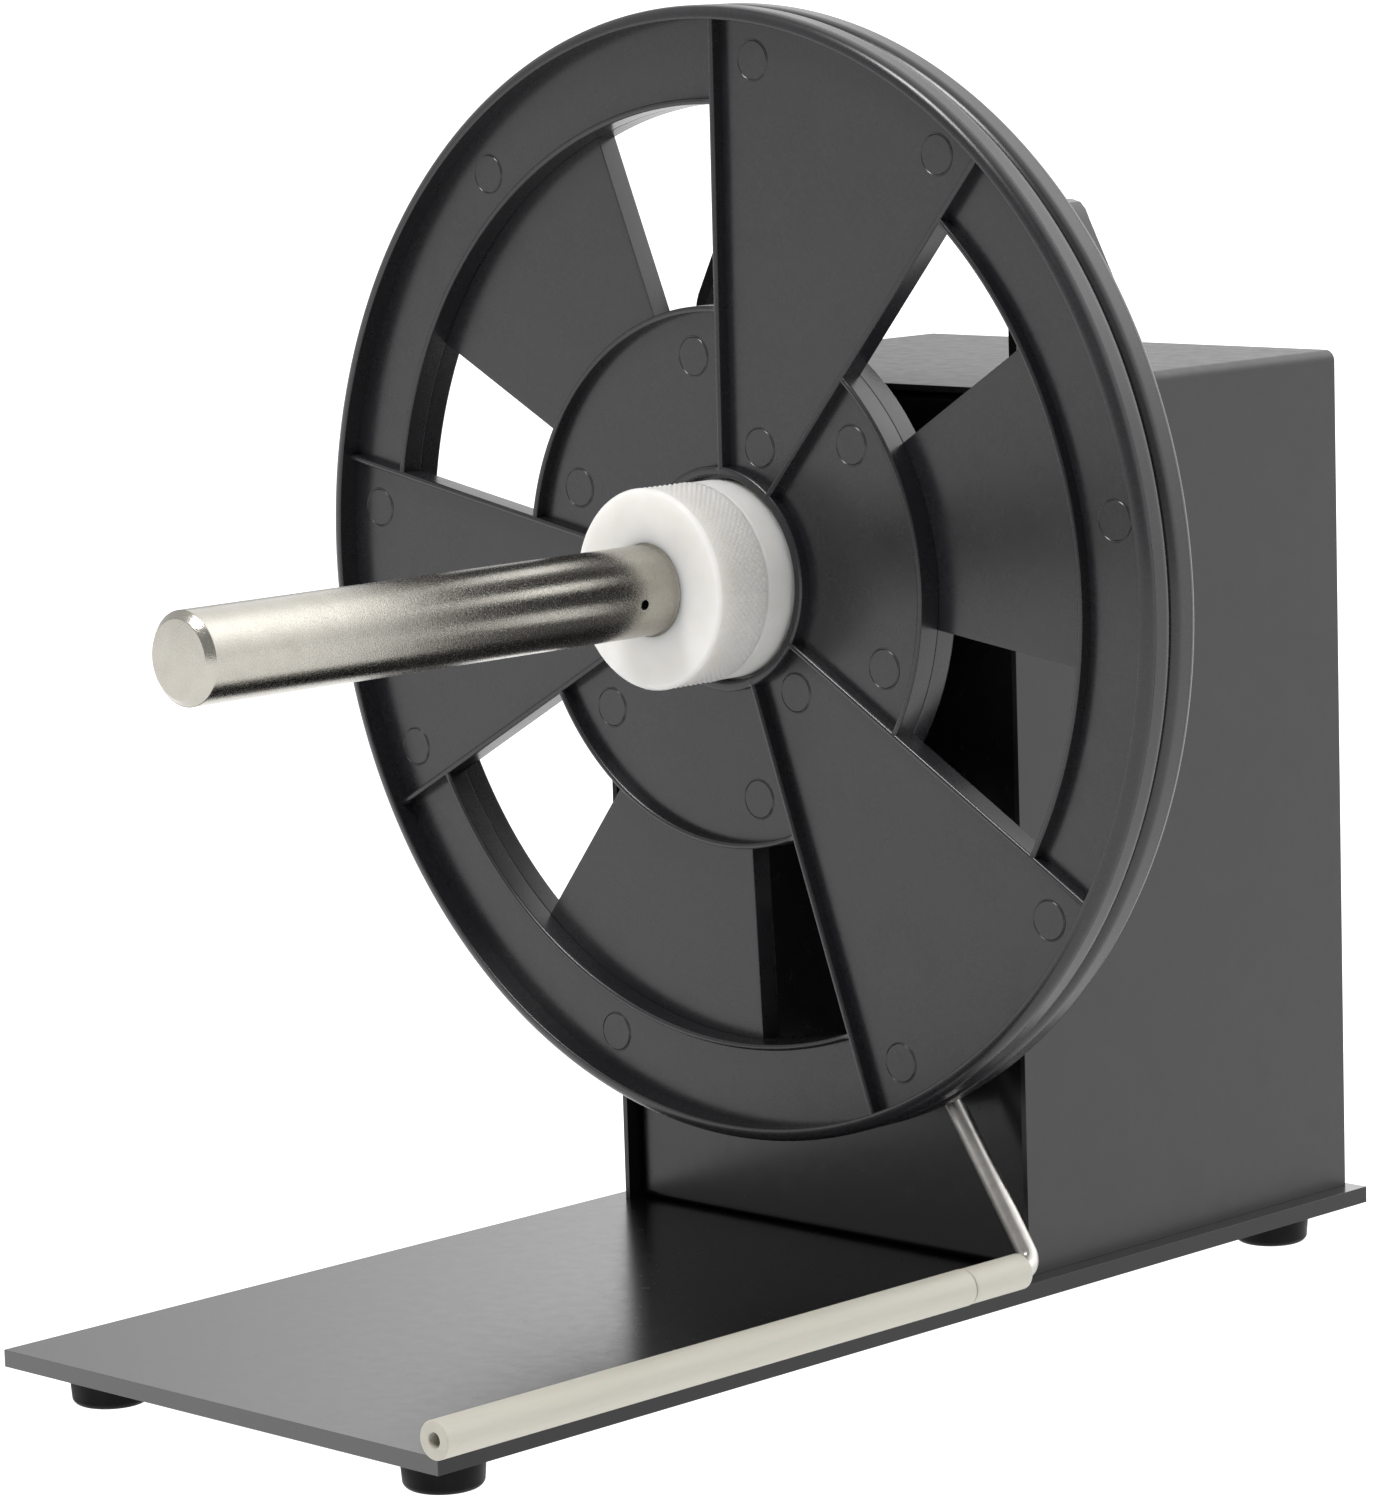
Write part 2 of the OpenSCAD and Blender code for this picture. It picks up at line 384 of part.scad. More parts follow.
module roller_stop() color([0.87, 0.85, 0.79]) difference() { ycyl(roll_x, roll_z, seam_y, arm_y - bend - 0.7, roller_d/2 - 0.1); ycyl(roll_x, roll_z, seam_y - 1, arm_y, rr + clr); }
module roller_tube() color([0.88, 0.86, 0.8]) difference() {
  ycyl(roll_x, roll_z, roll_f, seam_y - 0.3, roller_d/2);
  ycyl(roll_x, roll_z, roll_f + 4, seam_y + 1, rr + clr);
  ycyl(roll_x, roll_z, roll_f - 1, roll_f + 5, 1.4, $fn = 48);
}

base_plate();
rubber_feet();
cover();
cover_screws();
front_panel();
rear_panel();
panel_screws();
carry_handle();
handle_screws();
handle_nuts();
bearing_housing();
housing_screws();
front_bearing();
bearing_bracket();
bracket_screws();
rear_bearing();
gearbox();
motor_can();
motor_terminals();
motor_screws();
control_board();
board_capacitors();
terminal_block();
heat_sink();
board_standoffs();
board_screws();
dc_inlet();
inlet_pin();
inlet_nut();
switch_body();
pivot_bush();
sensor_bracket();
tension_sensor();
spindle();
front_flange();
rear_flange();
core_hub();
drive_gear();
gear_set_screw();
retaining_ring();
motor_shaft();
pinion_gear();
pinion_set_screw();
dancer_rod();
pivot_collar();
roller_stop();
roller_tube();
switch_rocker();
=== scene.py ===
import json
import math
import bpy
import bmesh
from mathutils import Matrix, Vector


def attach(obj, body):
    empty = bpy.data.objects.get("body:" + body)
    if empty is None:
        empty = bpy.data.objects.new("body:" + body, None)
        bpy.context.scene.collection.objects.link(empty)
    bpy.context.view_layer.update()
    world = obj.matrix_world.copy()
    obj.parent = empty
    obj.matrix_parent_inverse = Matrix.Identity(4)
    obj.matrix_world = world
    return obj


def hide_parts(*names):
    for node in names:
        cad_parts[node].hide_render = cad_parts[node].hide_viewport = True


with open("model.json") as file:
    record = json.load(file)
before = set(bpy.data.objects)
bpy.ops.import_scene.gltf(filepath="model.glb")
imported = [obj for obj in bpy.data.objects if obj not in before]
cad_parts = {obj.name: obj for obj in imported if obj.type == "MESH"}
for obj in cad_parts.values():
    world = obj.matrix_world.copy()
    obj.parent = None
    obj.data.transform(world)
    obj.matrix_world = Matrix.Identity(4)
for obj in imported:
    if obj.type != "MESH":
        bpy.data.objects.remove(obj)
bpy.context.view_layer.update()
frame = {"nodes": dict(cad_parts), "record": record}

NODES = frame["nodes"]
MM = 0.001
AXZ = 145.7          # spindle height
REEL_Y = 4.5         # front of the front rim
FL_T = 7.03
FL_GAP = 0.04
FL2_Y = REEL_Y + 2 * FL_T + FL_GAP


# ------------------------------------------------------------------ materials
class Mat:
    """A principled material and short ways to drive its sockets from textures."""

    def __init__(self, name):
        self.m = bpy.data.materials.new(name)
        self.m.use_nodes = True
        self.nt = self.m.node_tree
        self.b = self.nt.nodes["Principled BSDF"]
        self.co = self.nt.nodes.new("ShaderNodeTexCoord").outputs["Object"]

    def set(self, **kw):
        names = {"rough": "Roughness", "metal": "Metallic", "ior": "IOR", "spec": "Specular IOR Level", "coat": "Coat Weight",
                 "coat_rough": "Coat Roughness", "sss": "Subsurface Weight", "sss_scale": "Subsurface Scale", "aniso": "Anisotropic",
                 "sheen": "Sheen Weight", "sheen_rough": "Sheen Roughness", "trans": "Transmission Weight"}
        for k, v in kw.items():
            self.b.inputs[names[k]].default_value = v
        return self

    def mapped(self, stretch, rot=(0, 0, 0)):
        n = self.nt.nodes.new("ShaderNodeMapping")
        n.inputs["Scale"].default_value = stretch
        n.inputs["Rotation"].default_value = rot
        self.nt.links.new(self.co, n.inputs["Vector"])
        return n.outputs[0]

    def noise(self, scale, detail=3.0, rough=0.5, dist=0.0, vec=None):
        n = self.nt.nodes.new("ShaderNodeTexNoise")
        n.inputs["Scale"].default_value = scale
        n.inputs["Detail"].default_value = detail
        n.inputs["Roughness"].default_value = rough
        n.inputs["Distortion"].default_value = dist
        self.nt.links.new(vec or self.co, n.inputs["Vector"])
        return n.outputs[0]

    def voronoi(self, scale, feature="F1", vec=None):
        n = self.nt.nodes.new("ShaderNodeTexVoronoi")
        n.feature = feature
        n.inputs["Scale"].default_value = scale
        self.nt.links.new(vec or self.co, n.inputs["Vector"])
        return n.outputs["Distance"]

    def span(self, fac, lo, hi, a=0.3, b=0.7):
        n = self.nt.nodes.new("ShaderNodeMapRange")
        n.inputs["From Min"].default_value = a
        n.inputs["From Max"].default_value = b
        n.inputs["To Min"].default_value = lo
        n.inputs["To Max"].default_value = hi
        self.nt.links.new(fac, n.inputs["Value"])
        return n.outputs["Result"]

    def ramp(self, fac, stops):
        n = self.nt.nodes.new("ShaderNodeValToRGB")
        el = n.color_ramp.elements
        while len(el) < len(stops):
            el.new(0.5)
        for e, (pos, col) in zip(el, stops):
            e.position = pos
            e.color = tuple(col) + (1.0,)
        self.nt.links.new(fac, n.inputs["Fac"])
        return n.outputs["Color"]

    def mix(self, fac, a, b, mode="MIX"):
        n = self.nt.nodes.new("ShaderNodeMix")
        n.data_type = "RGBA"
        n.blend_type = mode
        for sock, v in ((n.inputs[0], fac), (n.inputs[6], a), (n.inputs[7], b)):
            if isinstance(v, (int, float)):
                sock.default_value = v
            elif isinstance(v, tuple):
                sock.default_value = v + (1.0,) if len(v) == 3 else v
            else:
                self.nt.links.new(v, sock)
        return n.outputs[2]

    def math(self, op, a, b=None):
        n = self.nt.nodes.new("ShaderNodeMath")
        n.operation = op
        for sock, v in zip(n.inputs, (a, b)):
            if v is None:
                continue
            if isinstance(v, (int, float)):
                sock.default_value = v
            else:
                self.nt.links.new(v, sock)
        return n.outputs[0]

    def bump(self, height, strength, dist, normal=None):
        n = self.nt.nodes.new("ShaderNodeBump")
        n.inputs["Strength"].default_value = strength
        n.inputs["Distance"].default_value = dist
        self.nt.links.new(height, n.inputs["Height"])
        if normal is not None:
            self.nt.links.new(normal, n.inputs["Normal"])
        return n.outputs["Normal"]

    def to(self, socket, out):
        self.nt.links.new(out, self.b.inputs[socket])
        return self


def powder(name, dark, light, rough=(0.21, 0.28), dust=0.0, peel=0.000005, coat=0.0, spec=0.5):
    """Black powder coat: fine orange peel, slight cloudiness, on the flat base a little dust."""
    k = Mat(name).set(spec=spec, coat=coat, coat_rough=0.22)
    col = k.ramp(k.noise(55, 4, 0.6), [(0.3, dark), (0.7, light)])
    if dust:
        specks = k.ramp(k.noise(1150, 3, 0.7), [(0.70, (0, 0, 0)), (0.80, (1, 1, 1))])
        col = k.mix(k.math("MULTIPLY", specks, dust), col, (0.13, 0.13, 0.135))
    k.to("Base Color", col)
    k.to("Roughness", k.span(k.noise(300, 4, 0.6), rough[0], rough[1]))
    k.to("Normal", k.bump(k.noise(2300, 2, 0.5), 0.3, 0.4 * peel, k.bump(k.noise(780, 2, 0.45), 0.6, peel)))
    return k.m


def moulded(name, dark, light, rough=(0.24, 0.30), grain=0.000005):
    """Satin injection-moulded plastic: faint flow clouds, fine grain, rub marks."""
    k = Mat(name).set(spec=0.5)
    flow = k.noise(26, 5, 0.62, 1.2)
    col = k.ramp(flow, [(0.32, dark), (0.68, light)])
    speck = k.noise(1500, 3, 0.6)
    col = k.mix(k.span(speck, 0.0, 0.6, 0.42, 0.62), col, tuple(c * 1.5 for c in light))
    rub = k.ramp(k.noise(95, 6, 0.75, 0.4), [(0.62, (0, 0, 0)), (0.74, (1, 1, 1))])
    k.to("Base Color", k.mix(k.math("MULTIPLY", rub, 0.18), col, tuple(c * 1.9 for c in light)))
    k.to("Roughness", k.span(k.noise(130, 5, 0.65), rough[0], rough[1]))
    k.to("Normal", k.bump(k.noise(2600, 2, 0.5), 0.4, grain, k.bump(k.noise(60, 2, 0.4), 0.12, 0.00005)))
    return k.m


def metal(name, col, rough=(0.2, 0.3), stretch=(1, 1, 1), scale=1500, bump_d=0.000008, bump_s=0.4, dirt=0.12, dirt_col=(0.2, 0.19, 0.17)):
    """Bare or plated metal: drawn or turned lines along one direction, stains, small pits."""
    k = Mat(name).set(metal=1.0)
    v = k.mapped(stretch)
    lines = k.noise(scale, 4, 0.6, 0.0, v)
    stain = k.ramp(k.noise(170, 6, 0.7), [(0.45, (0, 0, 0)), (0.72, (1, 1, 1))])
    k.to("Base Color", k.mix(k.math("MULTIPLY", stain, dirt), k.ramp(lines, [(0.3, tuple(c * 0.88 for c in col)), (0.7, col)]), dirt_col))
    k.to("Roughness", k.span(k.noise(420, 5, 0.65), rough[0], rough[1]))
    k.to("Normal", k.bump(lines, bump_s, bump_d))
    return k.m


def plastic(name, dark, light, rough=(0.4, 0.5), sss=0.0, sss_scale=0.002, grain=900, bump_d=0.00001):
    k = Mat(name).set(spec=0.5)
    if sss:
        k.set(sss=sss, sss_scale=sss_scale)
    k.to("Base Color", k.ramp(k.noise(70, 5, 0.6, 0.5), [(0.3, dark), (0.7, light)]))
    k.to("Roughness", k.span(k.noise(240, 4, 0.6), rough[0], rough[1]))
    k.to("Normal", k.bump(k.noise(grain, 3, 0.55), 0.35, bump_d))
    return k.m


def nickel():
    """Nickel plate on a turned bar: fairly bright, with fine pits that break up dark reflections."""
    k = Mat("nickel_plate").set(metal=1.0)
    pits = k.noise(2900, 3, 0.6)
    tint = k.noise(240, 5, 0.65)
    k.to("Base Color", k.ramp(tint, [(0.3, (0.385, 0.367, 0.326)), (0.7, (0.43, 0.412, 0.37))]))
    k.to("Roughness", k.span(pits, 0.15, 0.31))
    k.to("Normal", k.bump(pits, 0.75, 0.00003))
    return k.m


def white_nylon():
    k = Mat("natural_nylon").set(spec=0.35, sss=1.0, sss_scale=0.008, rough=0.5)
    k.b.inputs["Subsurface Radius"].default_value = (1.0, 0.93, 0.82)
    cloud = k.noise(160, 4, 0.6)
    k.to("Base Color", k.ramp(cloud, [(0.3, (0.70, 0.685, 0.655)), (0.7, (0.74, 0.73, 0.705))]))
    k.to("Roughness", k.span(k.noise(500, 4, 0.6), 0.44, 0.58))
    k.to("Normal", k.bump(k.noise(1400, 3, 0.6), 0.35, 0.00002))
    return k.m


def ivory_tube():
    k = Mat("ivory_tube").set(spec=0.5, sss=0.15, sss_scale=0.0015)
    along = k.mapped((1.0, 0.06, 1.0))
    cloud = k.noise(260, 5, 0.65, 0.3, along)
    grime = k.ramp(k.noise(420, 6, 0.75), [(0.56, (0, 0, 0)), (0.78, (1, 1, 1))])
    base = k.ramp(cloud, [(0.3, (0.395, 0.38, 0.325)), (0.7, (0.445, 0.43, 0.375))])
    k.to("Base Color", k.mix(k.math("MULTIPLY", grime, 0.16), base, (0.27, 0.25, 0.205)))
    k.to("Roughness", k.span(cloud, 0.42, 0.58))
    k.to("Normal", k.bump(k.noise(900, 4, 0.6, 0.0, along), 0.4, 0.00003))
    return k.m


def rubber_mat():
    k = Mat("foot_rubber").set(spec=0.1)
    k.to("Base Color", k.ramp(k.noise(300, 5, 0.65), [(0.3, (0.0022, 0.0022, 0.0023)), (0.75, (0.006, 0.006, 0.0064))]))
    k.to("Roughness", k.span(k.noise(200, 3, 0.5), 0.38, 0.6))
    k.to("Normal", k.bump(k.noise(2200, 2, 0.5), 0.4, 0.00002))
    return k.m


POWDER = powder("powder_coat_black", (0.0052, 0.0052, 0.0058), (0.0078, 0.0078, 0.0085))
COVER = powder("powder_coat_cover", (0.0066, 0.0066, 0.0073), (0.0094, 0.0094, 0.0102), rough=(0.34, 0.42))
PLATE = powder("powder_coat_plate", (0.0014, 0.0014, 0.0016), (0.0028, 0.0028, 0.0032), rough=(0.21, 0.28), dust=0.06, peel=0.000014, coat=0.82)
# darker copy of the plate's powder coat for the plate's side and back faces: painted shade where they stand near the
# floor
EDGE_PAINTED_SHADE = powder("powder_coat_edge_painted_shade", (0.0045, 0.0045, 0.005), (0.0065, 0.0065, 0.0071), rough=(0.28, 0.36), spec=0.34)
ABS = moulded("moulded_black", (0.0085, 0.0082, 0.0096), (0.0115, 0.011, 0.0128))
NICKEL = nickel()
NYLON = white_nylon()
IVORY = ivory_tube()
RUBBER = rubber_mat()
ROD = metal("drawn_steel", (0.51, 0.495, 0.47), (0.26, 0.42), (1, 1, 1), 900, 0.00002, 0.5, 0.35, (0.25, 0.235, 0.2))
ZINC = metal("zinc_plate", (0.66, 0.67, 0.68), (0.24, 0.36), (1, 1, 1), 1200, 0.00001, 0.4, 0.2)
SHEETZINC = metal("galvanised_sheet", (0.58, 0.59, 0.6), (0.32, 0.46), (1, 1, 0.08), 900, 0.000012, 0.4, 0.25)
ALLOY = metal("turned_alloy", (0.72, 0.72, 0.73), (0.28, 0.4), (1, 1, 1), 1600, 0.000008, 0.35, 0.15)
STEELCAN = metal("motor_steel", (0.5, 0.5, 0.51), (0.3, 0.42), (1, 0.1, 1), 900, 0.00001, 0.35, 0.25)
BRONZE = metal("sintered_bronze", (0.62, 0.42, 0.22), (0.36, 0.5), (1, 1, 1), 2600, 0.00003, 0.6, 0.3, (0.2, 0.13, 0.06))
BRASS = metal("turned_brass", (0.75, 0.58, 0.27), (0.24, 0.36), (1, 1, 1), 1800, 0.00001, 0.4, 0.2, (0.3, 0.2, 0.08))
OXIDE = metal("black_oxide", (0.13, 0.13, 0.135), (0.32, 0.45), (1, 1, 1), 1500, 0.00001, 0.4, 0.2, (0.05, 0.045, 0.04))
BOARD = plastic("board_green", (0.014, 0.12, 0.05), (0.022, 0.17, 0.075), (0.28, 0.4))
SLEEVE = plastic("component_sleeve", (0.02, 0.022, 0.04), (0.03, 0.034, 0.055), (0.25, 0.35))
TERMINAL = plastic("terminal_green", (0.02, 0.2, 0.07), (0.03, 0.26, 0.1), (0.4, 0.5))
CONTROL = moulded("control_black", (0.009, 0.009, 0.0095), (0.014, 0.014, 0.0145), (0.28, 0.4), 0.00001)
SENSOR = plastic("sensor_blue", (0.03, 0.05, 0.14), (0.045, 0.07, 0.18), (0.35, 0.45))

BY_SLOT = {
    "powder_black": POWDER, "abs_black": ABS, "rubber": RUBBER, "zinc_screw": ZINC, "nickel": NICKEL, "steel_rod": ROD,
    "nylon_white": NYLON, "tube_ivory": IVORY, "bronze": BRONZE, "zinc_plate": SHEETZINC, "alloy": ALLOY, "motor_steel": STEELCAN,
    "brass": BRASS, "board_green": BOARD, "component_dark": SLEEVE, "terminal_green": TERMINAL, "control_black": CONTROL,
    "sensor_blue": SENSOR, "dark_steel": OXIDE,
}
SLOT_OF = {s["node"]: s["material_slot"] for s in frame["record"]["subparts"]}
for n, o in NODES.items():
    o.data.materials.clear()
    o.data.materials.append(BY_SLOT[SLOT_OF[n]])


# ------------------------------------------------------------------ mesh tools
def even_normals(o):
    """Large faces keep their own normal, so that only the small rounded edges between them turn."""
    mod = o.modifiers.new("even", "WEIGHTED_NORMAL")
    mod.mode = "FACE_AREA"
    mod.weight = 50
    mod.keep_sharp = True
    bpy.context.view_layer.update()
    done = bpy.data.meshes.new_from_object(o.evaluated_get(bpy.context.evaluated_depsgraph_get()))
    o.modifiers.clear()
    old = o.data
    o.data = done
    bpy.data.meshes.remove(old)


def finish_mesh(name, bm, mat, body, nodes, angle=32.0, even=True):
    me = bpy.data.meshes.new(name)
    bmesh.ops.recalc_face_normals(bm, faces=bm.faces[:])
    bm.to_mesh(me)
    bm.free()
    me.shade_smooth()
    me.set_sharp_from_angle(angle=math.radians(angle))
    me.materials.append(mat)
    o = bpy.data.objects.new(name, me)
    bpy.context.scene.collection.objects.link(o)
    if even:
        even_normals(o)
    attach(o, body)
    if nodes:
        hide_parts(*nodes)
    return o


def edge_angle(e):
    if len(e.link_faces) != 2:
        return 0.0
    return e.calc_face_angle(0.0)


def lathe(profile, segs=128, closed=False):
    """Spin (radius, along) points round local +Z. A closed profile is a ring; an open one runs from axis to axis."""
    bm = bmesh.new()
    rows = []
    for r, z in profile:
        if r < 1e-9:
            rows.append([bm.verts.new((0, 0, z))])
        else:
            rows.append([bm.verts.new((r * math.cos(2 * math.pi * i / segs), r * math.sin(2 * math.pi * i / segs), z)) for i in range(segs)])
    pairs = list(zip(rows, rows[1:]))
    if closed:
        pairs.append((rows[-1], rows[0]))
    for a, b in pairs:
        if len(a) == 1 and len(b) == 1:
            continue
        for i in range(segs):
            j = (i + 1) % segs
            if len(a) == 1:
                bm.faces.new((a[0], b[j], b[i]))
            elif len(b) == 1:
                bm.faces.new((a[i], a[j], b[0]))
            else:
                bm.faces.new((a[i], a[j], b[j], b[i]))
    return bm


def corner(cx, cz, r, a0, a1, n=5):
    return [(cx + r * math.cos(math.radians(a0 + (a1 - a0) * i / n)), cz + r * math.sin(math.radians(a0 + (a1 - a0) * i / n))) for i in range(n + 1)]


def to_front(bm, x, y, z):
    """Local +Z points to the front (-Y), local +Y up; millimetres to metres."""
    m = Matrix.Translation(Vector((x, y, z)) * MM) @ Matrix.Rotation(math.radians(90), 4, "X") @ Matrix.Scale(MM, 4)
    bmesh.ops.transform(bm, matrix=m, verts=bm.verts[:])


def to_back(bm, x, y, z):
    m = Matrix.Translation(Vector((x, y, z)) * MM) @ Matrix.Rotation(math.radians(-90), 4, "X") @ Matrix.Scale(MM, 4)
    bmesh.ops.transform(bm, matrix=m, verts=bm.verts[:])


def refined(node, width, segments=2, limit=28.0, mat=None):
    """A copy of a CAD node's shape with its sharp edges rounded."""
    bm = bmesh.new()
    bm.from_mesh(NODES[node].data)
    bmesh.ops.remove_doubles(bm, verts=bm.verts[:], dist=2e-6)
    bmesh.ops.dissolve_limit(bm, angle_limit=math.radians(0.6), use_dissolve_boundaries=False, verts=bm.verts[:], edges=bm.edges[:], delimit=set())
    edges = [e for e in bm.edges if edge_angle(e) > math.radians(limit)]
    if width:
        bmesh.ops.bevel(bm, geom=edges, offset=width * MM, offset_type="OFFSET", segments=segments, profile=0.5, affect="EDGES", clamp_overlap=True)
    body = [b for b, l in frame["record"]["behaviour"]["bodies"].items() if node in l][0]
    return finish_mesh(node + "_shape", bm, mat or BY_SLOT[SLOT_OF[node]], body, [node])


# ------------------------------------------------------------------ flanges
def flange_bm(direction):
    """Moulded flange on local +Z: rim front at 0, plain back at -7.03, both outer edges well rounded."""
    BOT, WEB, RIB, LIP = -FL_T, -4.5, -2.0, 0.0
    levels = [BOT, WEB, RIB, LIP]
    lines, kinds = [], []          # columns (angle in degrees, offset in mm); kind of the cell after each
    def fill(a, b, kind, n):
        for i in range(n):
            lines.append((a, b, i / n))
            kinds.append(kind)
    for k in range(3):
        c = direction + 120 * k
        fill((c - 20, 0.12), (c - 20, 1.37), "rib", 1)
        fill((c - 20, 1.37), (c + 20, -1.37), "spoke", 38)
        fill((c + 20, -1.37), (c + 20, -0.12), "rib", 1)
        fill((c + 20, -0.12), (c + 100, 0.12), "gap", 78)
    radii = [9.05, 20.0, 22.0, 51.75, 53.0, 91.5, 92.75, 107.8, 110.5]
    def angle(line, r):
        a, b, t = line
        x = math.radians(a[0]) + math.asin(a[1] / r)
        y = math.radians(b[0]) + math.asin(b[1] / r)
        return x + (y - x) * t
    def level(row, kind):
        if row == 0:
            return WEB
        if row == 1:
            return RIB
        if row >= 7:
            return LIP
        if kind == "rib":
            return RIB
        if kind == "gap":
            if row in (3, 5):
                return RIB
            if row == 4:
                return None
        return WEB
    bm = bmesh.new()
    verts = {}
    n = len(lines)
    def v(row, col, z):
        key = (row, col % n, z)
        if key not in verts:
            a = angle(lines[col % n], radii[row])
            verts[key] = bm.verts.new((radii[row] * math.cos(a), radii[row] * math.sin(a), z))
        return verts[key]
    def wall(p, q, lo, hi):
        """p and q are (row, col) corners."""
        cut = [z for z in levels if lo <= z <= hi]
        for a, b in zip(cut, cut[1:]):
            bm.faces.new((v(*p, a), v(*q, a), v(*q, b), v(*p, b)))
    rows = len(radii) - 1
    lev = [[level(r, kinds[c]) for c in range(n)] for r in range(rows)]
    for r in range(rows):
        for c in range(n):
            z = lev[r][c]
            if z is not None:
                bm.faces.new((v(r, c, z), v(r + 1, c, z), v(r + 1, c + 1, z), v(r, c + 1, z)))
                bm.faces.new((v(r, c, BOT), v(r, c + 1, BOT), v(r + 1, c + 1, BOT), v(r + 1, c, BOT)))
            here = BOT if z is None else z
            side = lev[r][(c + 1) % n]
            side = BOT if side is None else side
            if side != here:
                wall((r, c + 1), (r + 1, c + 1), min(here, side), max(here, side))
            out = BOT if r == rows - 1 else lev[r + 1][c]
            out = BOT if out is None else out
            if out != here:
                wall((r + 1, c), (r + 1, c + 1), min(here, out), max(here, out))
            if r == 0:
                wall((0, c), (0, c + 1), BOT, here)
    bmesh.ops.recalc_face_normals(bm, faces=bm.faces[:])
    def pick(test):
        out = []
        for e in bm.edges:
            if edge_angle(e) > math.radians(30) and e.is_convex:
                a, b = e.verts
                ra, rb = a.co.xy.length, b.co.xy.length
                if test(a.co, b.co, ra, rb):
                    out.append(e)
        return out
    same = lambda x, t: abs(x - t) < 0.02
    bmesh.ops.bevel(bm, geom=pick(lambda a, b, ra, rb: same(a.z, 0) and same(b.z, 0) and same(ra, 110.5) and same(rb, 110.5)), offset=2.1, offset_type="OFFSET", segments=9, profile=0.5, affect="EDGES")
    bmesh.ops.bevel(bm, geom=pick(lambda a, b, ra, rb: same(a.z, 0) and same(b.z, 0) and same(ra, 107.8) and same(rb, 107.8)), offset=0.35, offset_type="OFFSET", segments=3, profile=0.5, affect="EDGES")
    bmesh.ops.bevel(bm, geom=pick(lambda a, b, ra, rb: same(a.z, BOT) and same(b.z, BOT) and same(ra, 110.5) and same(rb, 110.5)), offset=2.1, offset_type="OFFSET", segments=9, profile=0.5, affect="EDGES")
    inner = lambda ra, rb: min(ra, rb) > 19.5 and max(ra, rb) < 108.5
    bmesh.ops.bevel(bm, geom=pick(lambda a, b, ra, rb: inner(ra, rb) and same(a.z, RIB) and same(b.z, RIB)), offset=0.56, offset_type="OFFSET", segments=4, profile=0.5, affect="EDGES", clamp_overlap=False)
    bmesh.ops.bevel(bm, geom=pick(lambda a, b, ra, rb: inner(ra, rb) and max(a.z, b.z) < RIB - 0.3), offset=0.2, offset_type="OFFSET", segments=2, profile=0.5, affect="EDGES", clamp_overlap=True)
    # ejector marks: low discs on the floors
    marks = []
    for k in range(3):
        c, w = direction + 120 * k, direction + 60 + 120 * k
        marks += [(100.4, c - 14.4), (100.4, c + 14.4), (100.4, w), (43.5, w - 29.5), (43.5, w + 29.5), (27.5, c)]
    for r, a in marks:
        x, y = r * math.cos(math.radians(a)), r * math.sin(math.radians(a))
        prof = [(4.08, WEB - 0.03), (3.98, WEB + 0.11), (3.86, WEB + 0.11), (3.73, WEB + 0.005), (3.6, WEB + 0.11), (3.35, WEB + 0.11), (0.0, WEB + 0.11)]
        disc = lathe(prof, 56)
        for q in disc.verts:
            q.co.x += x
            q.co.y += y
        tmp = bpy.data.meshes.new("t")
        disc.to_mesh(tmp)
        disc.free()
        bm.from_mesh(tmp)
        bpy.data.meshes.remove(tmp)
    return bm


bm = flange_bm(69.5)
to_front(bm, 0, REEL_Y, AXZ)
front_flange = finish_mesh("front_flange_moulding", bm, ABS, "reel", ["front_flange"])
bm = flange_bm(-12.25)
to_back(bm, 0, FL2_Y, AXZ)
rear_flange = finish_mesh("rear_flange_moulding", bm, ABS, "reel", ["rear_flange"])


# ------------------------------------------------------------------ core hub with a diamond knurl
def knurled_hub():
    R = 19.5
    z_front, z_kn = 13.2, -0.2          # local +Z is forward
    segs, teeth = 720, 90
    depth = 0.32
    bm = bmesh.new()
    def ring(r, z):
        return [bm.verts.new((r * math.cos(2 * math.pi * i / segs), r * math.sin(2 * math.pi * i / segs), z)) for i in range(segs)]
    rows = []
    # bore and chamfered mouth, front face, then the outside
    rows.append(ring(9.05, -8.95))
    rows.append(ring(9.05, z_front - 0.5))
    for r, z in corner(9.3, z_front - 0.25, 0.25, 180, 90, 4):
        rows.append(ring(r, z))
    rows.append(ring(14.0, z_front))
    for r, z in corner(R - 0.95, z_front - 0.8, 0.8, 90, 20, 6):
        rows.append(ring(r, z))
    n = 78
    z0, z1 = z_front - 0.75, z_kn + 0.25
    for j in range(n + 1):
        z = z0 + (z1 - z0) * j / n
        fade = min(1.0, (n - j) / 3.0 + 0.25) * (0.4 + 0.6 * j / n) * min(1.0, j / 5.0)
        row = []
        for i in range(segs):
            th = 2 * math.pi * i / segs
            u = th * teeth / (2 * math.pi)
            w = z / 1.36
            a = abs(((u + w) % 1.0) - 0.5) * 2
            b = abs(((u - w) % 1.0) - 0.5) * 2
            h = min(a, b)
            h = min(1.0, h * 1.35)
            r = R - depth * (1 - h) * fade
            row.append(bm.verts.new((r * math.cos(th), r * math.sin(th), z)))
        rows.append(row)
    rows.append(ring(R - 0.45, z_kn))
    rows.append(ring(R - 0.85, z_kn - 0.1))
    rows.append(ring(R - 0.85, z_kn - 0.5))
    for r, z in corner(R - 0.4, z_kn - 0.75, 0.2, 90, 0, 3):
        rows.append(ring(r, z))
    rows.append(ring(R - 0.2, -8.95))
    for a, b in zip(rows, rows[1:] + rows[:1]):
        for i in range(segs):
            j = (i + 1) % segs
            bm.faces.new((a[i], a[j], b[j], b[i]))
    return bm


bm = knurled_hub()
to_front(bm, 0, 0, AXZ)
hub = finish_mesh("core_hub_knurled", bm, NYLON, "reel", ["core_hub"], 50.0, False)


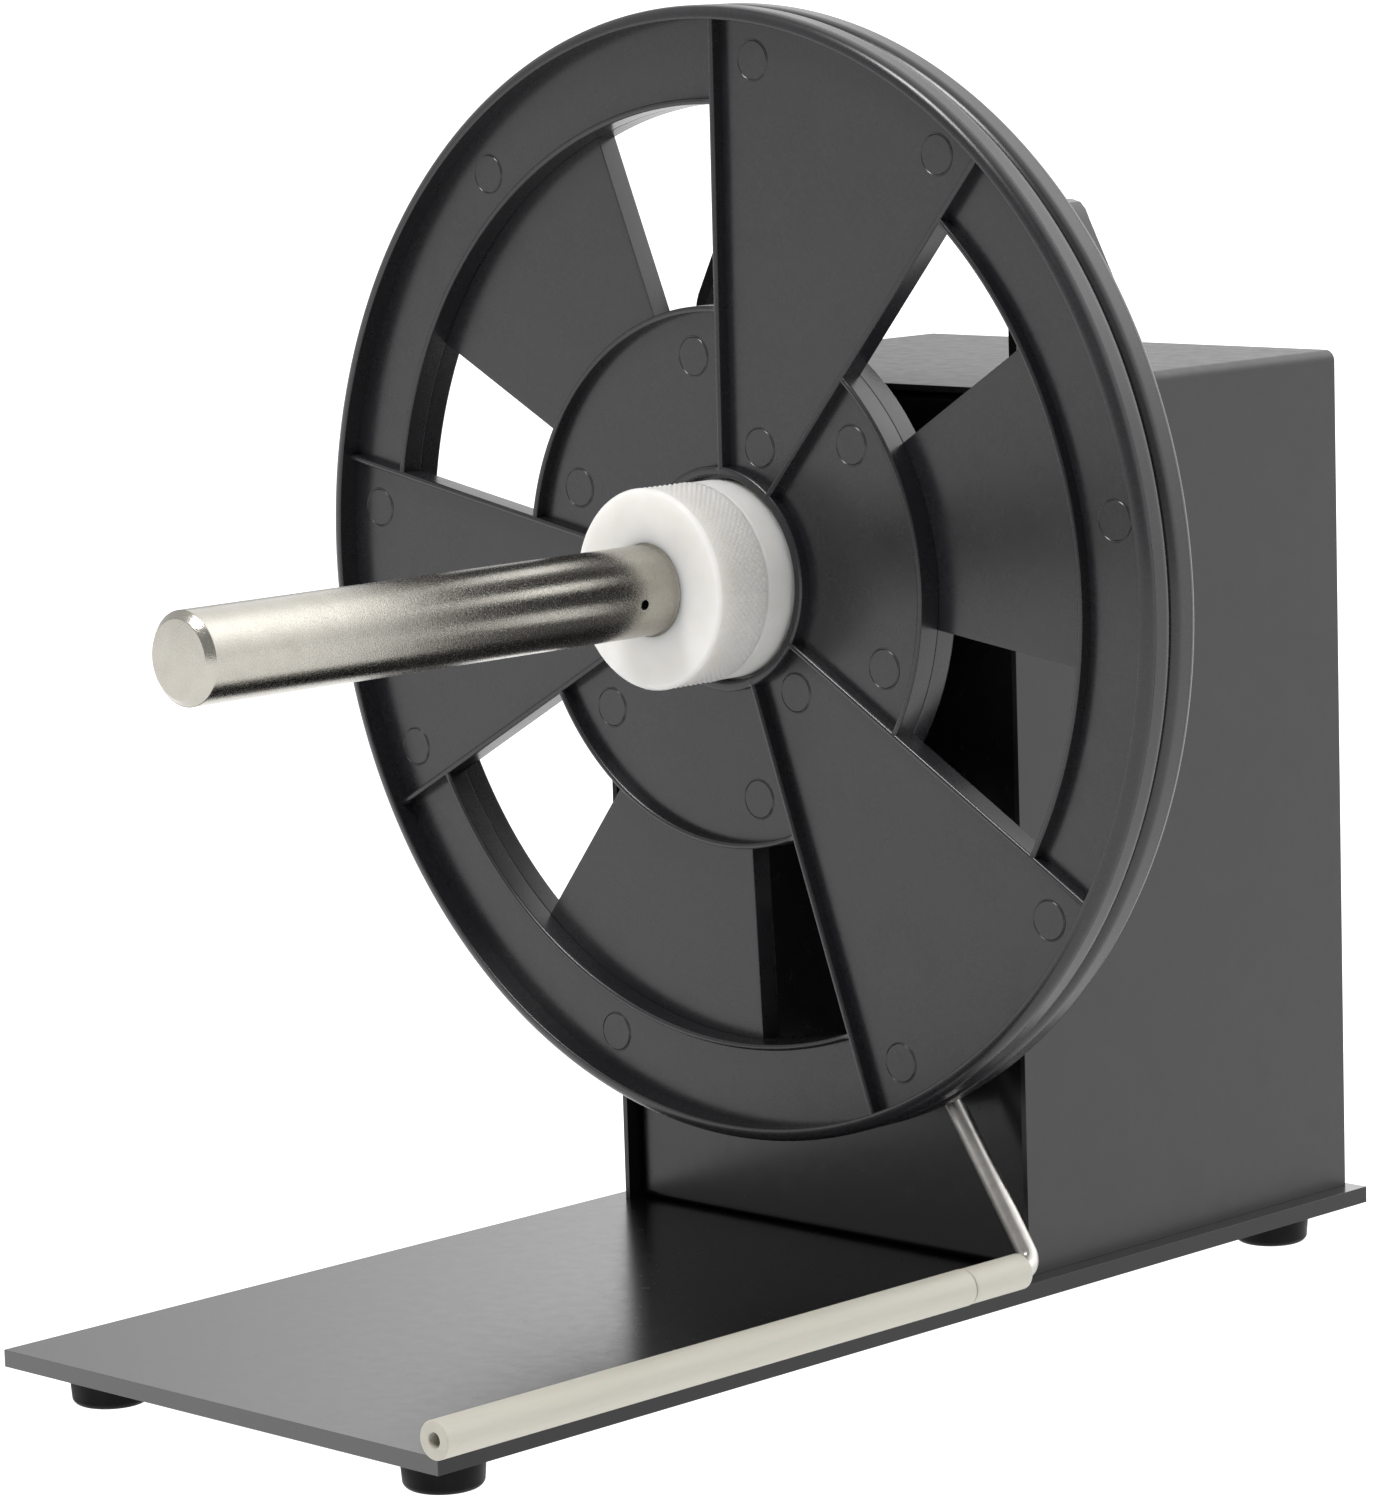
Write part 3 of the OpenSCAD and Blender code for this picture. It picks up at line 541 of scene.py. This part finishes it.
# ------------------------------------------------------------------ spindle
def spindle_bm():
    sr = 8.75
    tip = 130.0
    prof = [(0.0, tip)] + [(sr - 1.55, tip)] + corner(sr - 1.55, tip - 0.25, 0.25, 90, 45, 3)[1:] + [(sr - 0.12, tip - 1.38)] + corner(sr - 0.3, tip - 1.56, 0.3, 45, 0, 3)
    prof += [(sr, tip - 1.8), (sr, tip - 2.6), (sr, 60.0), (sr, 25.0), (sr, 19.6), (sr, 14.1), (sr, 13.7), (sr, 13.5), (9.0, 13.0), (9.0, -14.1), (13.7, -14.1), (14.0, -14.4), (14.0, -22.7), (13.7, -23.0), (sr, -23.0),
             (sr, -76.7), (sr - 0.8, -76.7), (sr - 0.8, -78.0), (sr, -78.0), (sr, -79.4), (sr - 0.6, -80.0), (0.0, -80.0)]
    return lathe(prof, 160)


bm = spindle_bm()
to_front(bm, 0, 0, AXZ)
spindle = finish_mesh("spindle_bar", bm, NICKEL, "reel", ["spindle"], 30.0, False)
# cross hole
bm = bmesh.new()
bmesh.ops.create_cone(bm, cap_ends=True, segments=32, radius1=1.0 * MM, radius2=1.0 * MM, depth=24 * MM)
bmesh.ops.transform(bm, matrix=Matrix.Translation((0, -22.3 * MM, AXZ * MM)) @ Matrix.Rotation(math.radians(99), 4, "Y"), verts=bm.verts[:])
me = bpy.data.meshes.new("cutter")
bm.to_mesh(me)
bm.free()
cutter = bpy.data.objects.new("cutter", me)
bpy.context.scene.collection.objects.link(cutter)
mod = spindle.modifiers.new("hole", "BOOLEAN")
mod.operation = "DIFFERENCE"
mod.solver = "EXACT"
mod.object = cutter
bpy.context.view_layer.update()
done = bpy.data.meshes.new_from_object(spindle.evaluated_get(bpy.context.evaluated_depsgraph_get()))
spindle.modifiers.clear()
spindle.data = done
spindle.data.shade_smooth()
spindle.data.set_sharp_from_angle(angle=math.radians(30))
bpy.data.objects.remove(cutter)


# ------------------------------------------------------------------ dancer rod, roller and its stop
def tube_along(points, r, segs=40):
    """Solid round rod through the points, its first end slightly rounded and its last end cut flat."""
    bm = bmesh.new()
    pts = [Vector(p) for p in points]
    n = len(pts)
    tang = [((pts[min(i + 1, n - 1)] - pts[i]).normalized() + (pts[i] - pts[max(i - 1, 0)]).normalized()).normalized() for i in range(n)]
    up = Vector((0.3, 0.2, 0.9))
    rings = []
    side = None
    for p, t in zip(pts, tang):
        side = (up if side is None else side)
        side = (side - t * side.dot(t)).normalized()
        up2 = t.cross(side)
        rings.append((p, t, side.copy(), up2))
    loops = []
    def loop(c, s, u, rad):
        return [bm.verts.new(c + (s * math.cos(2 * math.pi * i / segs) + u * math.sin(2 * math.pi * i / segs)) * rad) for i in range(segs)]
    p, t, s, u = rings[0]
    for k in range(3):
        a = math.radians(15 + 30 * k)
        loops.append(loop(p + t * 0.25 * (1 - math.sin(a)), s, u, r - 0.25 * (1 - math.cos(math.pi / 2 - a))))
    for p, t, s, u in rings[1:-1]:
        loops.append(loop(p, s, u, r))
    p, t, s, u = rings[-1]
    loops.append(loop(p, s, u, r))
    for a, b in zip(loops, loops[1:]):
        for i in range(segs):
            j = (i + 1) % segs
            bm.faces.new((a[i], a[j], b[j], b[i]))
    bm.faces.new(loops[0])
    bm.faces.new(list(reversed(loops[-1])))
    return bm


ROLL = Vector((60.85, 0.0, 14.16))
ARM_Y, BEND, ARM = 25.5, 3.5, 82.0
ADIR = Vector((math.cos(math.radians(123.4)), 0, math.sin(math.radians(123.4))))
PIV = ROLL + ADIR * ARM
yv = Vector((0, 1, 0))
route = [ROLL + yv * y for y in (-126.0, -125.7, -80, -40, 0, ARM_Y - BEND)]
for i in range(1, 13):
    a = math.radians(90 * i / 12)
    route.append(ROLL + yv * (ARM_Y - BEND + BEND * math.sin(a)) + ADIR * (BEND - BEND * math.cos(a)))
route += [ROLL + yv * ARM_Y + ADIR * d for d in (20, 40, 60)]
for i in range(0, 13):
    a = math.radians(90 * i / 12)
    route.append(ROLL + yv * (ARM_Y + BEND - BEND * math.cos(a)) + ADIR * (ARM - BEND + BEND * math.sin(a)))
route += [PIV + yv * y for y in (40, 56.8, 57.0)]
bm = tube_along(route, 2.0)
bmesh.ops.transform(bm, matrix=Matrix.Scale(MM, 4), verts=bm.verts[:])
rod = finish_mesh("dancer_rod_bent", bm, ROD, "dancer", ["dancer_rod"], 40.0)


def tube_piece(r_out, r_in, y0, y1, mouth=None, segs=96):
    """A cut plastic tube along Y between y0 and y1, with softened cut edges and a mouth of its own at the front."""
    L = y1 - y0
    e = 0.3
    prof = [(r_in if mouth is None else mouth, 0.22)]
    if mouth is None:
        prof = [(r_in, e)]
    else:
        prof = [(mouth, 4.0), (mouth, e)]
    m = prof[-1][0]
    prof += corner(m + e, e, e, 180, 270, 3)
    prof += corner(r_out - e, e, e, 270, 360, 4)
    for i in range(1, 12):
        prof.append((r_out, L * i / 12))
    prof += corner(r_out - e, L - e, e, 0, 90, 4)
    prof += corner(r_in + 0.2, L - 0.2, 0.2, 90, 180, 3)
    prof.append((r_in, 4.0 if mouth else L * 0.5))
    return lathe(prof, segs, closed=True)


bm = tube_piece(3.6, 2.05, -131.5, 5.2, 1.4)
to_back(bm, ROLL.x, -131.5, ROLL.z)
roller = finish_mesh("roller_tube_cut", bm, IVORY, "roller", ["roller_tube"], 40.0)
bm = tube_piece(3.5, 2.05, 5.5, 21.3)
to_back(bm, ROLL.x, 5.5, ROLL.z)
stop = finish_mesh("roller_stop_collar", bm, IVORY, "dancer", ["roller_stop"], 40.0)


# ------------------------------------------------------------------ feet
def feet_bm():
    out = bmesh.new()
    R, H = 7.8, 7.3
    prof = [(0.0, 0.9), (3.0, 0.9), (3.5, 0.55)] + corner(4.2, 0.45, 0.45, 190, 270, 3) + corner(R - 1.95, 1.6, 1.6, 270, 345, 8) + [(R - 0.15, H * 0.6), (R, H - 0.3), (R - 0.15, H), (0.0, H)]
    for sx in (-1, 1):
        for sy in (-1, 1):
            f = lathe(prof, 72)
            for q in f.verts:
                q.co.x += sx * 46.0
                q.co.y += sy * 116.0
            tmp = bpy.data.meshes.new("t")
            f.to_mesh(tmp)
            f.free()
            out.from_mesh(tmp)
            bpy.data.meshes.remove(tmp)
    bmesh.ops.transform(out, matrix=Matrix.Scale(MM, 4), verts=out.verts[:])
    return out


finish_mesh("rubber_feet_moulded", feet_bm(), RUBBER, "frame", ["rubber_feet"], 40.0)

# ------------------------------------------------------------------ sheet metal and small parts: CAD shapes with rounded edges
plate = refined("base_plate", 0.45, 3, mat=PLATE)
# the plate's top and front faces keep the glossy coat; its side and back faces get the darker copy, painted shade near
# the floor
plate.data.materials.append(EDGE_PAINTED_SHADE)
for f in plate.data.polygons:
    f.material_index = 0 if f.normal.z > 0.6 or f.normal.y < -0.6 else 1
refined("cover", 0.22, 2, mat=COVER)
refined("front_panel", 0.15, 2)
refined("rear_panel", 0.15, 2)
refined("carry_handle", 0.35, 3)
refined("switch_body", 0.3, 2)
refined("switch_rocker", 0.35, 3)
refined("dc_inlet", 0.2, 2)
refined("pivot_bush", 0.2, 2)
for n in ("cover_screws", "panel_screws", "bracket_screws", "handle_screws", "housing_screws"):
    refined(n, 0.1, 1)

# ------------------------------------------------------------------ floor, light, camera
k = Mat("studio_floor").set(spec=0.15, rough=0.7)
k.to("Base Color", k.ramp(k.noise(3, 3, 0.5), [(0.3, (0.19, 0.19, 0.191)), (0.7, (0.21, 0.21, 0.21))]))
k.b.inputs["Emission Color"].default_value = (1, 1, 1, 1)
k.b.inputs["Emission Strength"].default_value = 1.2
bm = bmesh.new()
bmesh.ops.create_grid(bm, x_segments=8, y_segments=8, size=60.0)
me = bpy.data.meshes.new("floor")
bm.to_mesh(me)
bm.free()
me.materials.append(k.m)
floor = bpy.data.objects.new("floor", me)
floor.location = (0, 0, -0.0002)
bpy.context.scene.collection.objects.link(floor)

# white surround that grows brighter towards a large soft source high behind on the right
world = bpy.data.worlds.new("studio")
bpy.context.scene.world = world
world.use_nodes = True
nt = world.node_tree
way = nt.nodes.new("ShaderNodeVectorMath")
way.operation = "DOT_PRODUCT"
way.inputs[1].default_value = Vector((0.25, 0.75, 0.60)).normalized()
nt.links.new(nt.nodes.new("ShaderNodeTexCoord").outputs["Generated"], way.inputs[0])
ramp = nt.nodes.new("ShaderNodeValToRGB")
GLOW = [(-1.0, 0.85), (0.28, 0.7), (0.36, 0.45), (0.43, 0.62), (0.51, 1.35), (0.64, 1.4), (0.74, 1.5), (0.81, 1.6), (0.90, 1.9), (0.96, 2.5), (1.0, 3.1)]
el = ramp.color_ramp.elements
while len(el) < len(GLOW):
    el.new(0.5)
for e, (d, v) in zip(el, GLOW):
    e.position = (d + 1) / 2
    e.color = (v / 4, v / 4, v / 4, 1)
half = nt.nodes.new("ShaderNodeMapRange")
half.inputs["From Min"].default_value = -1.0
half.inputs["From Max"].default_value = 1.0
nt.links.new(way.outputs["Value"], half.inputs["Value"])
nt.links.new(half.outputs["Result"], ramp.inputs["Fac"])
bg = nt.nodes["Background"]
nt.links.new(ramp.outputs["Color"], bg.inputs["Color"])
# the room behind the camera is darker
room = nt.nodes.new("ShaderNodeVectorMath")
room.operation = "DOT_PRODUCT"
room.inputs[1].default_value = Vector((0.45, -0.87, 0.2)).normalized()
nt.links.new(way.inputs[0].links[0].from_socket, room.inputs[0])
dim = nt.nodes.new("ShaderNodeMapRange")
dim.interpolation_type = "SMOOTHSTEP"
dim.inputs["From Min"].default_value = 0.35
dim.inputs["From Max"].default_value = 0.9
dim.inputs["To Min"].default_value = 4.0
dim.inputs["To Max"].default_value = 2.2
nt.links.new(room.outputs["Value"], dim.inputs["Value"])
nt.links.new(dim.outputs["Result"], bg.inputs["Strength"])


def area(name, loc, target, size, power, size_y=None, col=(1, 1, 1)):
    l = bpy.data.lights.new(name, "AREA")
    l.energy = power
    l.color = col
    l.shape = "RECTANGLE"
    l.size = size
    l.size_y = size_y or size
    o = bpy.data.objects.new(name, l)
    o.location = loc
    o.rotation_euler = (Vector(target) - Vector(loc)).to_track_quat("-Z", "Y").to_euler()
    bpy.context.scene.collection.objects.link(o)
    return o


area("overhead", (-0.14, -0.75, 1.5), (0, 0, 0.12), 0.42, 15)

cam = bpy.data.cameras.new("camera")
cam.sensor_width = 36.0
cam.sensor_fit = "AUTO"
cam.lens = 5596.3 / 1500 * 36.0
cam.shift_x = -(741.08 - 686.5) / 1500
cam.shift_y = (779.9 - 750.0) / 1500
cam.clip_start = 0.05
cam.clip_end = 150
co = bpy.data.objects.new("camera", cam)
right = Vector((0.71632589, 0.69715226, -0.0292566))
up = Vector((-0.08586355, 0.12968023, 0.9878312))
back = Vector((0.69246276, -0.70509699, 0.15275327))
rot = Matrix((right, up, back)).transposed().to_4x4()
co.matrix_world = Matrix.Translation((0.75831, -0.76112, 0.27296)) @ rot
bpy.context.scene.collection.objects.link(co)
bpy.context.scene.camera = co
bpy.context.scene.view_settings.view_transform = "Standard"
